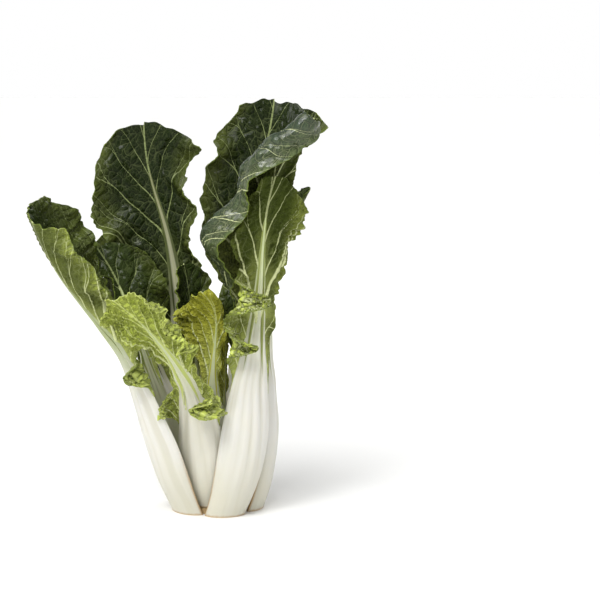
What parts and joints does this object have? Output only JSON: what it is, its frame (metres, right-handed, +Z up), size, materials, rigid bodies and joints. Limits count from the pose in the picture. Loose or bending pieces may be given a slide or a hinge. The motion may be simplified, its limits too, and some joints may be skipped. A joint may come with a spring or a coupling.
{
  "type": "bok choy bunch",
  "caption": "Head of bok choy standing on its flat cut end, with broad white stalks packed round a short core and loose, waved green leaves spreading at the top.",
  "frame": {"origin": "centre of the cut end's flat face, on the surface that the bunch stands on", "axes": "+Z up the bunch, from the cut end to the leaves; -Y is the front, and +X is to the right seen from the front"},
  "size_m": [0.2229, 0.1719, 0.3139],
  "materials": {
    "stalk": "smooth, waxy, white with fine lengthwise ribs, going to pale green near the blade",
    "pale_stalk": "smooth, pale yellow-green, of the youngest leaves in the heart",
    "cut_stem": "dull, cut plant stem with faint rings, browned at its edge",
    "dark_leaf": "glossy, blistered, dark green with cream veins",
    "leaf": "satin, blistered, mid green with pale raised veins and a lighter back",
    "heart_leaf": "satin, finely blistered, yellow-green with pale veins"
  },
  "bodies": {
    "root": {"core": "cut_stem", "left_stalk": "stalk", "left_blade": "leaf", "front_stalk": "stalk", "front_blade": "leaf", "front_right_stalk": "stalk", "front_right_blade": "leaf", "right_stalk": "stalk", "right_blade": "leaf", "back_right_stalk": "stalk", "back_right_blade": "dark_leaf", "back_left_stalk": "stalk", "back_left_blade": "dark_leaf", "inner_left_stalk": "stalk", "inner_left_blade": "leaf", "inner_back_stalk": "stalk", "inner_back_blade": "dark_leaf", "inner_right_stalk": "stalk", "inner_right_blade": "leaf", "inner_front_stalk": "stalk", "inner_front_blade": "dark_leaf", "young_front_stalk": "stalk", "young_front_blade": "heart_leaf", "young_left_stalk": "stalk", "young_left_blade": "leaf", "young_right_stalk": "stalk", "young_right_blade": "leaf", "heart_left_stalk": "pale_stalk", "heart_left_blade": "heart_leaf", "heart_right_stalk": "pale_stalk", "heart_right_blade": "heart_leaf"}
  },
  "joints": []
}
